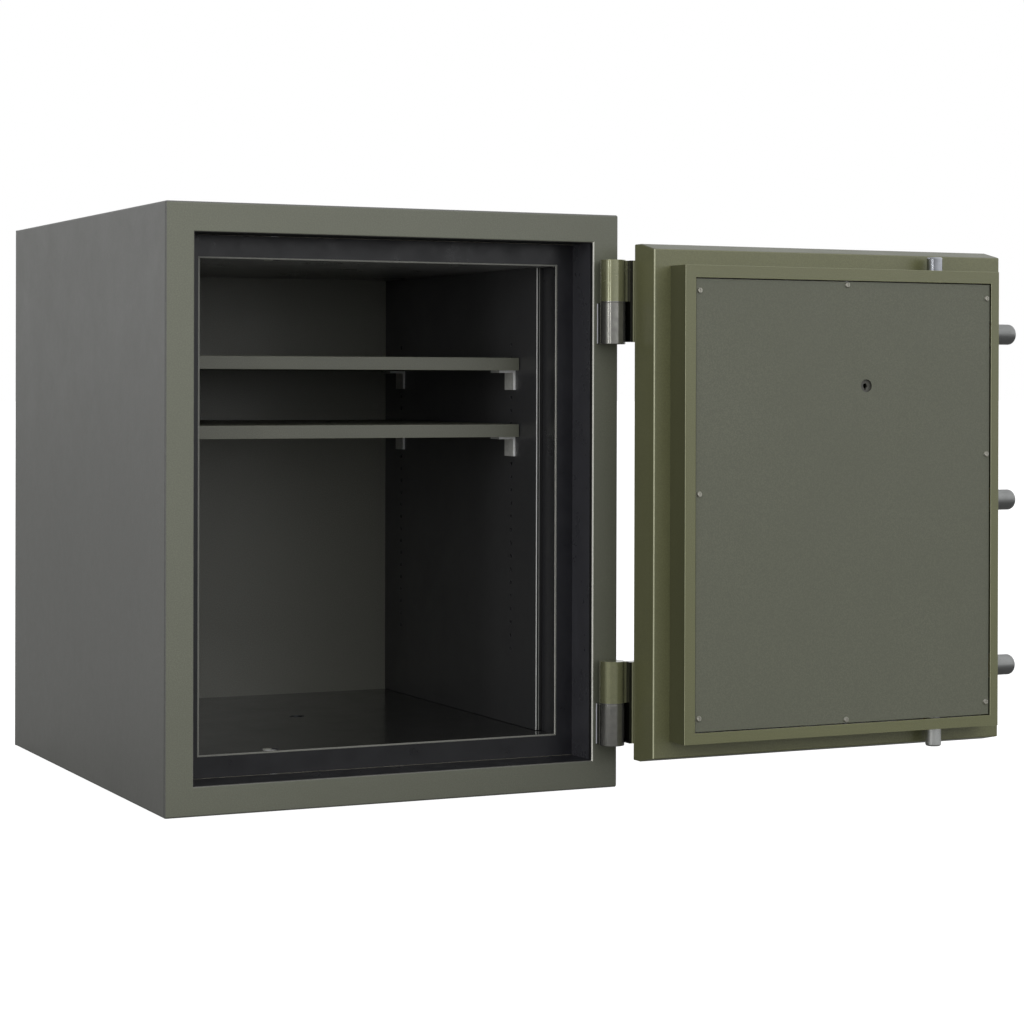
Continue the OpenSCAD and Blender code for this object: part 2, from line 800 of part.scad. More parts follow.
module handle_rose() {
    color("#a9abad") on_door() difference() {
        union() {
            y_rod(hole_x, handle_z, rose_r, face_y - rose_t, face_y);
            y_rod(hole_x, handle_z, collar_r, face_y - collar_h, face_y - 1);
        }
        y_rod(hole_x, handle_z, shaft_r + fit, face_y - collar_h - 1, face_y + 1);
    }
}

module shaft_tube() {
    y0 = face_y + plate_t + hard_t;
    color("#8a8c88") on_door() difference() {
        y_rod(hole_x, handle_z, tube_r, y0, tube_end);
        y_rod(hole_x, handle_z, shaft_r + 1, y0 - 1, tube_end + 1);
    }
}

module shaft_bush() {
    color("#b08d4a") on_door() difference() {
        union() {
            y_rod(hole_x, handle_z, bush_r, tube_end, board_y);
            y_rod(hole_x, handle_z, bush_flange, board_y, board_y + bush_flange_t);
        }
        y_rod(hole_x, handle_z, shaft_r + fit, tube_end - 1, board_y + bush_flange_t + 1);
    }
}

module dial_ring() {
    color("#b5b7b9") on_door() difference() {
        y_rod(hole_x, dial_z, dial_ring_top, face_y - dial_ring_t, face_y, dial_ring_r);
        y_rod(hole_x, dial_z, spindle_r + 1, face_y - dial_ring_t - 1, face_y + 1);
    }
}

module spindle_tube() {
    y0 = face_y + plate_t + hard_t;
    color("#8a8c88") on_door() difference() {
        y_rod(hole_x, dial_z, dial_tube_r, y0, board_y);
        y_rod(hole_x, dial_z, spindle_r + 1, y0 - 1, board_y + 1);
    }
}

LOCK_SCREWS = [for (x = [lock_x0 + lock_boss_r, lock_x1 - lock_boss_r],
                    z = [lock_z0 + lock_boss_r, lock_z1 - lock_boss_r]) [x, z]];

// An open box with a corner boss for each screw, and a mouth for the lock bolt in its lower wall
module lock_case() {
    color("#b9b6a4") on_door() difference() {
        block([lock_x0, board_y, lock_z0], [lock_x1, lock_y1, lock_z1]);
        difference() {
            block([lock_x0 + lock_wall, board_y + lock_floor, lock_z0 + lock_wall],
                  [lock_x1 - lock_wall, lock_y1 + 1, lock_z1 - lock_wall]);
            for (s = LOCK_SCREWS)
                y_rod(s[0], s[1], lock_boss_r, board_y, lock_y1 + 2);
        }
        for (s = LOCK_SCREWS)
            y_rod(s[0], s[1], lock_screw_r + touch, board_y + 4, lock_y1 + 1);
        block([hole_x - lock_bolt_w - lock_bolt_gap, lock_bolt_y0 - lock_bolt_gap, lock_z0 - 1],
              [hole_x + lock_bolt_w + lock_bolt_gap, lock_bolt_y1 + lock_bolt_gap, lock_z0 + lock_wall + 1]);
        y_rod(hole_x, dial_z, spindle_r + 1, board_y - 1, board_y + lock_floor + 1);
    }
}

module lock_cover() {
    y1 = lock_y1 + lock_lid;
    color("#a8a593") on_door() difference() {
        block([lock_x0, lock_y1, lock_z0], [lock_x1, y1, lock_z1]);
        for (s = LOCK_SCREWS)
            y_rod(s[0], s[1], lock_screw_r + touch, lock_y1 - 1, y1 + 1);
        y_rod(hole_x, key_z, keyhole_r, lock_y1 - 1, y1 + 1);
        block([hole_x - keyhole_r / 3, lock_y1 - 1, key_z - keyhole_r * 5 / 3],
              [hole_x + keyhole_r / 3, y1 + 1, key_z]);
    }
}

module lock_screws() {
    y1 = lock_y1 + lock_lid;
    color("#77797b") on_door()
        for (s = LOCK_SCREWS) {
            y_rod(s[0], s[1], lock_screw_r, board_y + 6, y1 + lock_screw_r / 2);
            y_rod(s[0], s[1], lock_head_r, y1, y1 + lock_screw_r);
        }
}

// Hooked blocks on the boltwork plate that hold the bars against the pinion
module bar_guides() {
    back_a = layer_a + bar_t + guide_gap;
    back_b = layer_b + bar_t + guide_gap;
    foot = guide_hook + 4;
    arm_z = side_arm_top + guide_gap / 2;
    color("#8a8c88") on_door() {
        block([guide_top, board_y, guide_z0], [guide_top + foot, back_b + guide_t, guide_z1]);
        block([guide_top - guide_hook, back_b, guide_z0], [guide_top + 1, back_b + guide_t, guide_z1]);
        block([guide_bottom - foot, board_y, guide_z0], [guide_bottom, back_b + guide_t, guide_z1]);
        block([guide_bottom - 1, back_b, guide_z0], [guide_bottom + guide_hook, back_b + guide_t, guide_z1]);
        block([side_guide_x0, board_y, arm_z], [side_guide_x1, back_a + guide_t, arm_z + guide_hook + 1]);
        block([side_guide_x0, back_a, arm_z - guide_hook], [side_guide_x1, back_a + guide_t, arm_z + 1]);
    }
}

// ---------- handle and pinion ----------

module handle_lever() {
    y0 = face_y - lever_h;
    arm_y = y0 + 1;
    color("#b5b7b9") on_door() difference() {
        union() {
            y_rod(hole_x, handle_z, lever_hub_r, y0, face_y - collar_h - lever_gap);
            block([hole_x, arm_y, handle_z - lever_w],
                  [hole_x + lever_l, arm_y + lever_t, handle_z + lever_w]);
            y_rod(hole_x + lever_l, handle_z, lever_w, arm_y, arm_y + lever_t);
        }
        y_rod(hole_x, handle_z, shaft_r + touch, y0 + lever_cap, 0);
    }
}

module handle_shaft() {
    color("#9c9ea0") on_door()
        y_rod(hole_x, handle_z, shaft_r, face_y - lever_h + lever_cap, shaft_end);
}

// Two gears on one hub: the large one drives the side bar, the small one the two end bars
module drive_pinion() {
    color("#8f9192") on_door() translate([hole_x, 0, handle_z]) difference() {
        union() {
            in_wall(layer_a, bar_t)
                rotate(90)
                    gear_outline(big_r, big_teeth);
            in_wall(layer_b, bar_t)
                gear_outline(small_r, small_teeth);
            y_rod(0, 0, hub_r, board_y + 2, layer_b);
        }
        y_rod(0, 0, shaft_r + touch, 0, shaft_end);
    }
}

module shaft_clip() {
    y0 = layer_b + bar_t + joint;
    color("#6b6d70") on_door() difference() {
        y_rod(hole_x, handle_z, clip_ring_r, y0, y0 + clip_ring_t);
        y_rod(hole_x, handle_z, shaft_r + touch, y0 - 1, y0 + clip_ring_t + 1);
        block([hole_x - clip_mouth, y0 - 1, handle_z - clip_ring_r - 1],
              [hole_x + clip_mouth, y0 + clip_ring_t + 1, handle_z]);
    }
}

// ---------- side bolts ----------

module side_bar() {
    pitch_z = handle_z + big_r;
    m = 2 * big_r / big_teeth;
    root_z = pitch_z + dedendum * m;
    color("#8b8d8e") on_door() difference() {
        union() {
            block([tab_x, layer_a, bolt_z - bolt_pitch - side_bar_down],
                  [tab_x + side_bar_w, layer_a + bar_t, bolt_z + bolt_pitch + side_bar_up]);
            for (i = [-1:1])
                block([tab_x, layer_a, bolt_z + i * bolt_pitch - tab_w / 2],
                      [tab_x + tab_t, tab_y1, bolt_z + i * bolt_pitch + tab_w / 2]);
            block([tab_x + side_bar_w - 5, layer_a, root_z], [0, layer_a + bar_t, side_arm_top]);
            in_wall(layer_a, bar_t)
                translate([hole_x, pitch_z])
                    rack_outline(big_r, big_teeth, side_rack[0], side_rack[1], dedendum * m + 1);
        }
        block([hole_x - lock_bolt_w - notch_gap, layer_a - 1, notch_z],
              [hole_x + lock_bolt_w + notch_gap, layer_a + bar_t + 1, side_arm_top + 1]);
        for (i = [-1:1])
            x_rod(bolt_y, bolt_z + i * bolt_pitch, screw_r + touch, tab_x - 1, tab_x + tab_t + 1);
    }
}

module side_bolts() {
    color("#a7a9ab") on_door()
        for (i = [-1:1])
            difference() {
                translate([tab_x, bolt_y, bolt_z + i * bolt_pitch])
                    rotate([0, -90, 0])
                        bolt(tab_x - side_tip, bolt_r, tip_r);
                x_rod(bolt_y, bolt_z + i * bolt_pitch, screw_r + touch, tab_x - thread_l - 2, tab_x + 1);
            }
}

module side_bolt_screws() {
    color("#6b6d70") on_door()
        for (i = [-1:1]) {
            x_rod(bolt_y, bolt_z + i * bolt_pitch, screw_r, tab_x - thread_l, tab_x + tab_t + 1);
            x_rod(bolt_y, bolt_z + i * bolt_pitch, head_r, tab_x + tab_t, tab_x + tab_t + head_h);
        }
}

// ---------- top and bottom bolts ----------

module top_bar() {
    pitch_x = hole_x + small_r;
    m = 2 * small_r / small_teeth;
    root_x = pitch_x + dedendum * m;
    color("#8b8d8e") on_door() difference() {
        union() {
            block([root_x, layer_b, handle_z - rack_down], [top_arm_x, layer_b + bar_t, handle_z + rack_up]);
            block([top_arm_x - arm_w, layer_b, handle_z], [top_arm_x, layer_b + bar_t, top_arm]);
            block([-end_bolt_x - tab_w / 2, layer_b, top_arm - arm_w],
                  [top_arm_x, layer_b + bar_t, top_arm]);
            block([-end_bolt_x - tab_w / 2, tab_y0, top_arm - tab_t],
                  [-end_bolt_x + tab_w / 2, tab_y1, top_arm]);
            in_wall(layer_b, bar_t)
                translate([pitch_x, handle_z])
                    rotate(-90)
                        rack_outline(small_r, small_teeth, end_rack[0], end_rack[1], dedendum * m + 1);
        }
        z_rod(-end_bolt_x, bolt_y, screw_r + touch, top_arm - arm_w - 1, top_arm + 1);
        z_rod(-end_bolt_x, bolt_y, head_r + head_gap, top_arm - arm_w - 1, top_arm - arm_w + head_h);
    }
}

module top_bolt() {
    color("#a7a9ab") on_door() difference() {
        translate([-end_bolt_x, bolt_y, top_arm])
            bolt(top_tip - top_arm, end_bolt_r, end_tip_r);
        z_rod(-end_bolt_x, bolt_y, screw_r + touch, top_arm - 1, top_arm + thread_l + 2);
    }
}

module top_bolt_screw() {
    color("#6b6d70") on_door() {
        z_rod(-end_bolt_x, bolt_y, screw_r, top_arm - arm_w + 1, top_arm + thread_l);
        z_rod(-end_bolt_x, bolt_y, head_r, top_arm - arm_w + 1, top_arm - arm_w + head_h);
    }
}

module bottom_bar() {
    pitch_x = hole_x - small_r;
    m = 2 * small_r / small_teeth;
    root_x = pitch_x - dedendum * m;
    color("#8b8d8e") on_door() difference() {
        union() {
            block([bottom_arm_x, layer_b, handle_z - rack_up],
                  [root_x, layer_b + bar_t, handle_z + small_r * 2]);
            block([bottom_arm_x, layer_b, bottom_arm], [bottom_arm_x + arm_w, layer_b + bar_t, handle_z]);
            block([-end_bolt_x - tab_w / 2, layer_b, bottom_arm],
                  [bottom_arm_x + arm_w, layer_b + bar_t, bottom_arm + arm_w]);
            block([-end_bolt_x - tab_w / 2, tab_y0, bottom_arm],
                  [-end_bolt_x + tab_w / 2, tab_y1, bottom_arm + tab_t]);
            in_wall(layer_b, bar_t)
                translate([pitch_x, handle_z])
                    rotate(90)
                        rack_outline(small_r, small_teeth, end_rack[0], end_rack[1], dedendum * m + 1);
        }
        z_rod(-end_bolt_x, bolt_y, screw_r + touch, bottom_arm - 1, bottom_arm + arm_w + 1);
        z_rod(-end_bolt_x, bolt_y, head_r + head_gap, bottom_arm + arm_w - head_h, bottom_arm + arm_w + 1);
    }
}

module bottom_bolt() {
    color("#a7a9ab") on_door() difference() {
        translate([-end_bolt_x, bolt_y, bottom_arm])
            mirror([0, 0, 1])
                bolt(bottom_arm - bottom_tip, end_bolt_r, end_tip_r);
        z_rod(-end_bolt_x, bolt_y, screw_r + touch, bottom_arm - thread_l - 2, bottom_arm + 1);
    }
}

module bottom_bolt_screw() {
    color("#6b6d70") on_door() {
        z_rod(-end_bolt_x, bolt_y, screw_r, bottom_arm - thread_l, bottom_arm + arm_w - 1);
        z_rod(-end_bolt_x, bolt_y, head_r, bottom_arm + arm_w - head_h, bottom_arm + arm_w - 1);
    }
}

// ---------- combination lock ----------

module dial_knob() {
    y0 = face_y - dial_ring_t - dial_gap;
    color("#303236") on_door() difference() {
        union() {
            y_rod(hole_x, dial_z, dial_top, y0 - dial_t, y0, dial_r);
            y_rod(hole_x, dial_z, grip_r, y0 - grip_h, y0 - 1);
        }
        y_rod(hole_x, dial_z, spindle_r + touch, y0 - grip_h + grip_cap, y0 + 1);
    }
}

module dial_spindle() {
    y0 = face_y - dial_ring_t - dial_gap - grip_h + grip_cap;
    color("#b79a58") on_door()
        y_rod(hole_x, dial_z, spindle_r, y0, lock_y1 - joint);
}

// Three wheels, each with the gate that the fence drops into
module lock_wheels() {
    color("#c2a45c") on_door()
        for (i = [0:2], y0 = wheel_y + i * wheel_pitch)
            difference() {
                y_rod(hole_x, dial_z, wheel_r, y0, y0 + wheel_t);
                y_rod(hole_x, dial_z, spindle_r + touch, wheel_y - 1, cam_y);
                rotate_about(hole_x, dial_z, gate_turn + i * gate_step)
                    block([hole_x - gate_w, wheel_y - 1, dial_z + wheel_r - gate_d],
                          [hole_x + gate_w, cam_y, dial_z + wheel_r + 1]);
            }
}

// Turns a piece about a line along Y
module rotate_about(x, z, angle) {
    translate([x, 0, z])
        rotate([0, angle, 0])
            translate([-x, 0, -z])
                children();
}

module drive_cam() {
    color("#c2a45c") on_door() difference() {
        y_rod(hole_x, dial_z, cam_r, cam_y, cam_y + cam_t);
        y_rod(hole_x, dial_z, spindle_r + touch, cam_y - 1, cam_y + cam_t + 1);
        block([hole_x - cam_r / 5, cam_y - 1, dial_z + cam_r * 2 / 3],
              [hole_x + cam_r / 5, cam_y + cam_t + 1, dial_z + cam_r + 1]);
    }
}

module lock_bolt() {
    color("#c2a45c") on_door()
        block([hole_x - lock_bolt_w, lock_bolt_y0, lock_z0 - lock_bolt_out],
              [hole_x + lock_bolt_w, lock_bolt_y1, lock_z0 + lock_bolt_up]);
}

// Carries the fence: it stands on the lock bolt, beside the wheels
module lock_lever() {
    x0 = lock_x0 + lever_in;
    foot_z = lock_z0 + lever_foot_z;
    fence_top = dial_z + fence_z + lock_wall;
    color("#a3a5a7") on_door() {
        block([x0, lever_y0, foot_z], [hole_x - lock_bolt_w, lever_y1, foot_z + lock_wall]);
        block([x0, lever_y0, foot_z], [x0 + lever_bar, fence_y1, fence_top]);
        block([x0, fence_y0, dial_z + fence_z], [hole_x, fence_y1, fence_top]);
    }
}

outer_shell();
back_panel();
fire_fill();
breaker_frame();
inner_liner();
left_side_panel();
right_side_panel();
shelf_clips();
bolt_keepers();
anchor_tube();
lower_hinge_knuckles();
hinge_pins();
hinge_washers();
upper_shelf();
lower_shelf();
door_skin();
door_fill();
hard_plate();
boltwork_plate();
door_frame();
bolt_bushes();
inner_cover();
cover_posts();
cover_screws();
upper_hinge_knuckles();
handle_rose();
shaft_tube();
shaft_bush();
dial_ring();
spindle_tube();
lock_case();
lock_cover();
lock_screws();
bar_guides();
handle_lever();
handle_shaft();
drive_pinion();
shaft_clip();
side_bar();
side_bolts();
side_bolt_screws();
top_bar();
top_bolt();
top_bolt_screw();
bottom_bar();
bottom_bolt();
bottom_bolt_screw();
dial_knob();
dial_spindle();
lock_wheels();
drive_cam();
lock_bolt();
lock_lever();
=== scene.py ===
"""Gun safe, door open: looks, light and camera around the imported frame."""

import json
import math

import bmesh
import bpy
from mathutils import Matrix, Vector


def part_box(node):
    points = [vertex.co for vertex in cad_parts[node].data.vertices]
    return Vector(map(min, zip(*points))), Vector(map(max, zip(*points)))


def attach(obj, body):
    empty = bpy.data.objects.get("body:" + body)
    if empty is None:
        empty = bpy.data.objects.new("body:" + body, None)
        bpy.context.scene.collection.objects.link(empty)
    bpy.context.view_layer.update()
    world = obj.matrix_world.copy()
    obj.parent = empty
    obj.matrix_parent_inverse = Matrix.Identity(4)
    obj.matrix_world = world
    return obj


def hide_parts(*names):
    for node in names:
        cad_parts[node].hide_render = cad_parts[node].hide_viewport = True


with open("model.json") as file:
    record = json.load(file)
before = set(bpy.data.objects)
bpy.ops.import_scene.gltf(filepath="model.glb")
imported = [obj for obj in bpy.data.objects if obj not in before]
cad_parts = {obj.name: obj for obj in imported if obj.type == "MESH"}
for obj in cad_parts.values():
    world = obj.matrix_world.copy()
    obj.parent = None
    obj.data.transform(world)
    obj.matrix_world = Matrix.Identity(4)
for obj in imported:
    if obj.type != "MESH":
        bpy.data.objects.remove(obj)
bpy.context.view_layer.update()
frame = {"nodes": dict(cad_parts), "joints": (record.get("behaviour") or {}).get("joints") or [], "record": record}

MM = 0.001
NODES = frame["nodes"]
BODIES = frame["record"]["behaviour"]["bodies"]
BODY_OF = {node: body for body, members in BODIES.items() for node in members}
SLOT_OF = {part["node"]: part["material_slot"] for part in frame["record"]["subparts"]}
JOINTS = {joint["name"]: joint for joint in frame["joints"]}


# ---------- materials ----------

FLAT_DOT = 0.995        # rounded normal against true normal: on a flat face, and on a sharp edge
EDGE_DOT = 0.80
BAND_BLUR = 0.25        # half the width of a band's soft border, in mm


def linear(red, green, blue):
    """A colour given as 0-255 display values, as the linear RGBA that shaders take."""
    def one(value):
        value /= 255
        return value / 12.92 if value <= 0.04045 else ((value + 0.055) / 1.055) ** 2.4
    return (one(red), one(green), one(blue), 1)


def shade(colour, factor):
    return tuple(min(1, part * factor) for part in colour[:3]) + (1,)


class Look:
    """A material with a principled shader, and short calls that add nodes to it."""

    def __init__(self, name):
        self.material = bpy.data.materials.new(name)
        self.material.use_nodes = True
        self.tree = self.material.node_tree
        self.tree.nodes.clear()
        output = self.tree.nodes.new("ShaderNodeOutputMaterial")
        self.shader = self.tree.nodes.new("ShaderNodeBsdfPrincipled")
        self.tree.links.new(self.shader.outputs[0], output.inputs[0])
        self.place = self.add("TexCoord").outputs["Object"]

    def add(self, kind, inputs=None, **settings):
        node = self.tree.nodes.new("ShaderNode" + kind)
        for key, value in settings.items():
            setattr(node, key, value)
        for key, value in (inputs or {}).items():
            self.feed(node, key, value)
        return node

    def feed(self, node, key, value):
        if isinstance(value, bpy.types.NodeSocket):
            self.tree.links.new(value, node.inputs[key])
        else:
            node.inputs[key].default_value = value

    def set(self, **inputs):
        for key, value in inputs.items():
            self.feed(self.shader, key.replace("_", " "), value)

    def stretched(self, stretch):
        return self.add("Mapping", {"Vector": self.place, "Scale": stretch}).outputs[0]

    def noise(self, scale, detail, roughness, vector=None):
        inputs = {"Vector": vector or self.place, "Scale": scale,
                  "Detail": detail, "Roughness": roughness}
        return self.add("TexNoise", inputs).outputs["Fac"]

    def ramp(self, value, low, high, out_low=0.0, out_high=1.0):
        inputs = {"Value": value, "From Min": low, "From Max": high,
                  "To Min": out_low, "To Max": out_high}
        return self.add("MapRange", inputs).outputs[0]

    def mix(self, factor, first, second, blend="MIX"):
        node = self.add("Mix", data_type="RGBA", blend_type=blend)
        self.feed(node, 0, factor)
        self.feed(node, 6, first)
        self.feed(node, 7, second)
        return node.outputs[2]

    def math(self, operation, first, second):
        node = self.add("Math", operation=operation)
        self.feed(node, 0, first)
        self.feed(node, 1, second)
        return node.outputs[0]

    def edges(self, radius):
        """1 on sharp edges and 0 on flat faces."""
        rounded = self.add("Bevel", {"Radius": radius}, samples=4).outputs[0]
        flat = self.add("NewGeometry").outputs["Normal"]
        dot = self.add("VectorMath", operation="DOT_PRODUCT")
        self.feed(dot, 0, rounded)
        self.feed(dot, 1, flat)
        return self.ramp(dot.outputs["Value"], FLAT_DOT, EDGE_DOT)

    def within(self, axis, low, high):
        """1 where the piece's own coordinate lies between low and high, in mm."""
        along = self.add("SeparateXYZ", {"Vector": self.place}).outputs[axis]
        rise = self.ramp(along, (low - BAND_BLUR) * MM, (low + BAND_BLUR) * MM)
        fall = self.ramp(along, (high + BAND_BLUR) * MM, (high - BAND_BLUR) * MM)
        return self.math("MULTIPLY", rise, fall)

    def dressed(self, base, bands, fades):
        """bands: (axis, low, high, colour) in mm, strips of another colour, such as painted highlights and painted
        shade.
        fades: (axis, start, end, factor, factor) in mm, how the tone drifts along the piece, used here for painted
        light and shade."""
        for axis, low, high, strip in bands:
            base = self.mix(self.within(axis, low, high), base, strip)
        for axis, start, end, first, last in fades:
            along = self.add("SeparateXYZ", {"Vector": self.place}).outputs[axis]
            base = self.mix(1.0, base, self.ramp(along, start * MM, end * MM, first, last), "MULTIPLY")
        return base

    def bump(self, height, distance, normal=None):
        inputs = {"Height": height, "Distance": distance, "Strength": 1.0}
        if normal is not None:
            inputs["Normal"] = normal
        return self.add("Bump", inputs).outputs[0]


def painted_steel(name, colour, rough=0.42, grain=1.0, edge=1.5, coat=0.15, wear_and_highlight=0.6,
                  coat_rough=0.25, metallic=0.0, bands=(), fades=()):
    """Fine hammered satin paint: grain, faint clouding, and thin bright edges, partly worn paint and partly
    painted highlight.
    Bands and fades are as in Look.dressed."""
    look = Look(name)
    fine = look.noise(760, 2, 0.5)
    orange_peel = look.noise(230, 2, 0.5)
    cloud = look.noise(4.5, 4, 0.6)
    smudge = look.noise(17, 5, 0.65)
    base = look.mix(look.ramp(cloud, 0.3, 0.7), shade(colour, 0.94), shade(colour, 1.06))
    base = look.mix(look.ramp(fine, 0.42, 0.62), shade(colour, 0.86), base)
    # Edges brightened by the mask: partly worn paint, partly painted highlight on the rounded edges.
    rubbed_and_highlit = look.math("MULTIPLY", look.edges(1.1 * MM), look.ramp(smudge, 0.35, 0.6, 0.35, 1.0))
    base = look.mix(look.math("MULTIPLY", rubbed_and_highlit, wear_and_highlight), base, shade(colour, edge))
    base = look.dressed(base, bands, fades)
    gloss = look.ramp(smudge, 0.25, 0.75, rough - 0.06, rough + 0.08)
    normal = look.bump(orange_peel, 0.10 * MM * grain)
    normal = look.bump(fine, 0.05 * MM * grain, normal=normal)
    look.set(Base_Color=base, Roughness=gloss, Normal=normal, Coat_Weight=coat,
             Coat_Roughness=coat_rough, Metallic=metallic)
    return look.material


def worked_steel(name, colour, rough=0.28, stretch=(1, 1, 1), lines=420, marks=0.25, bands=()):
    """Bare or plated steel with fine tool lines along one way and dull marks."""
    look = Look(name)
    tool = look.noise(lines, 3, 0.6, look.stretched(stretch))
    dull = look.noise(38, 5, 0.65)
    speck = look.noise(320, 2, 0.5)
    base = look.mix(look.ramp(dull, 0.35, 0.7), colour, shade(colour, 1 - marks))
    base = look.mix(look.ramp(speck, 0.62, 0.75, 0, 0.4), base, shade(colour, 0.55))
    base = look.dressed(base, bands, ())
    lined = look.ramp(tool, 0.3, 0.7, rough - 0.06, rough + 0.08)
    gloss = look.math("ADD", lined, look.ramp(dull, 0.4, 0.8, 0, 0.14))
    normal = look.bump(tool, 0.03 * MM)
    look.set(Base_Color=base, Metallic=1.0, Roughness=gloss, Normal=normal)
    return look.material


def plated_steel(name, colour, rough, metallic):
    """Zinc plate: pale, a little dull, with a faint spangle."""
    look = Look(name)
    spangle = look.noise(150, 2, 0.5)
    dull = look.noise(30, 5, 0.65)
    base = look.mix(look.ramp(spangle, 0.35, 0.65), shade(colour, 0.88), shade(colour, 1.05))
    base = look.mix(look.ramp(dull, 0.5, 0.8, 0, 0.4), base, shade(colour, 0.7))
    gloss = look.ramp(dull, 0.3, 0.7, rough - 0.04, rough + 0.1)
    look.set(Base_Color=base, Metallic=metallic, Roughness=gloss, Normal=look.bump(spangle, 0.02 * MM))
    return look.material


def moulded(name, colour, rough=0.4, grain=0.6, fades=()):
    """Moulded plastic with a faint skin, paler in soft patches."""
    look = Look(name)
    skin = look.noise(520, 3, 0.6)
    patch = look.noise(26, 5, 0.65)
    base = look.mix(look.ramp(patch, 0.45, 0.8, 0, 0.35), colour, shade(colour, 1.8))
    base = look.dressed(base, (), fades)
    gloss = look.ramp(patch, 0.3, 0.7, rough - 0.08, rough + 0.12)
    look.set(Base_Color=base, Roughness=gloss, Normal=look.bump(skin, 0.06 * MM * grain))
    return look.material


def cast_mineral(name, colour):
    """Cast fire-resisting fill: chalky, with pores."""
    look = Look(name)
    pores = look.noise(260, 6, 0.7)
    cloud = look.noise(12, 4, 0.6)
    base = look.mix(look.ramp(cloud, 0.3, 0.7), shade(colour, 0.88), shade(colour, 1.05))
    base = look.mix(look.ramp(pores, 0.6, 0.68), base, shade(colour, 0.5))
    look.set(Base_Color=base, Roughness=0.92, Normal=look.bump(pores, 0.6 * MM))
    return look.material


OLIVE = linear(115, 116, 81)
GREY_OLIVE = linear(96, 96, 91)
LINER_SHADED = [(1, -235, 245, linear(6, 6, 6))]
# Across the door knuckle's strap, by x in mm: painted shade on its side face beside the knuckle, then a painted
# highlight along its edge.
HINGE_PAINTED_SHADE_AND_HIGHLIGHT = [(0, 279.6, 283.0, linear(14, 14, 8)), (0, 283.2, 285.0, linear(190, 190, 160))]
# Thin painted highlights down the side panels' front flanges: x in mm, half width, colour.
FLANGE_PAINTED_HIGHLIGHTS = ((214.9, 0.5, linear(235, 235, 230)), (218.2, 0.3, linear(170, 170, 165)))
LOOKS = {
    "cabinet_paint": painted_steel("cabinet_paint", GREY_OLIVE, edge=1.7),
    "door_paint": painted_steel("door_paint", OLIVE, rough=0.34, edge=2.1, coat=0.35, grain=0.7),
    "cover_paint": painted_steel("cover_paint", linear(103, 105, 88), rough=0.5, edge=1.4),
    "shelf_paint": painted_steel("shelf_paint", linear(106, 107, 94), rough=0.42, edge=1.5),
    "liner_paint": painted_steel("liner_paint", linear(50, 50, 52), rough=0.3, edge=1.3, coat=0.3,
                                 grain=0.4, bands=LINER_SHADED),
    # The side panels grow paler towards the top as painted light.
    "panel_paint": painted_steel("panel_paint", linear(62, 62, 63), rough=0.34, edge=2.0,
                                 grain=0.4, fades=[(2, 330, 600, 1.0, 1.4)]),
    "hinge_paint": painted_steel("hinge_paint", linear(140, 141, 106), rough=0.24, edge=1.6, coat=1.0,
                                 grain=0.3, coat_rough=0.08, metallic=0.5, bands=HINGE_PAINTED_SHADE_AND_HIGHLIGHT),
    "hinge_steel": plated_steel("hinge_steel", linear(146, 145, 139), 0.17, 0.8),
    "fire_board": cast_mineral("fire_board", linear(186, 181, 168)),
    # The breaker frame grows paler towards the right as painted light.
    "breaker_plastic": moulded("breaker_plastic", linear(17, 17, 20), rough=0.32,
                               fades=[(0, 150, 235, 1.0, 2.2)]),
    "zinc_steel": plated_steel("zinc_steel", linear(252, 252, 248), 0.42, 0.0),
    "keeper_steel": plated_steel("keeper_steel", linear(238, 238, 235), 0.32, 0.4),
    "brass": worked_steel("brass", linear(206, 176, 104), rough=0.3, marks=0.3),
    "hard_steel": worked_steel("hard_steel", linear(96, 98, 100), rough=0.5, marks=0.35),
    "bar_steel": worked_steel("bar_steel", linear(170, 171, 172), rough=0.34, stretch=(1, 1, 0.08)),
    "bolt_steel": worked_steel("bolt_steel", linear(136, 137, 135), rough=0.38,
                               stretch=(0.05, 1, 1), marks=0.15),
    "lock_alloy": worked_steel("lock_alloy", linear(120, 117, 108), rough=0.5, marks=0.2),
    "handle_chrome": worked_steel("handle_chrome", linear(222, 223, 224), rough=0.2, marks=0.08),
    "dial_black": moulded("dial_black", linear(26, 26, 29), rough=0.22, grain=0.2),
}
# The shell's front faces: the cabinet paint made paler as painted light, brighter to the left as painted light and
# darker towards the bottom as painted shade.
RIM_PAINTED_LIGHT = painted_steel("rim_painted_light", linear(117, 119, 103), edge=1.7,
                          fades=[(0, -250, 250, 1.04, 0.84), (2, 0, 500, 0.84, 1.0)])
# Copies of the liner paint: the back wall paler as painted light and paler still towards the top, the floor darker
# as painted shade, the ceiling paler as painted light.
LINER_BACK_PAINTED_LIGHT = painted_steel("liner_back", linear(119, 119, 109), rough=0.38, edge=1.3, coat=0.2,
                           grain=0.4, fades=[(2, 150, 560, 1.0, 1.6)])
LINER_FLOOR_PAINTED_SHADE = painted_steel("liner_floor_painted_shade", linear(36, 36, 35), rough=0.14, edge=1.3, coat=0.4,
                            grain=0.3)
LINER_CEILING_PAINTED_LIGHT = painted_steel("liner_ceiling_painted_light", linear(150, 150, 148), rough=0.3, edge=1.3, coat=0.3,
                              grain=0.3)
# Near-white painted highlight for the rounded edges down the right of the opening and of the liner.
HIGHLIGHT_EDGE = painted_steel("highlight_edge", linear(240, 238, 226), rough=0.35, edge=1.1, coat=0.1, wear_and_highlight=0.2)
DULL_EDGE = painted_steel("dull_edge", linear(128, 128, 120), rough=0.35, edge=1.1, coat=0.1, wear_and_highlight=0.2)
# A paler olive as painted highlight on the door's rounded upright edges.
OLIVE_PAINTED_HIGHLIGHT = painted_steel("olive_painted_highlight", linear(205, 206, 170), rough=0.3, edge=1.2, coat=0.5, wear_and_highlight=0.3)
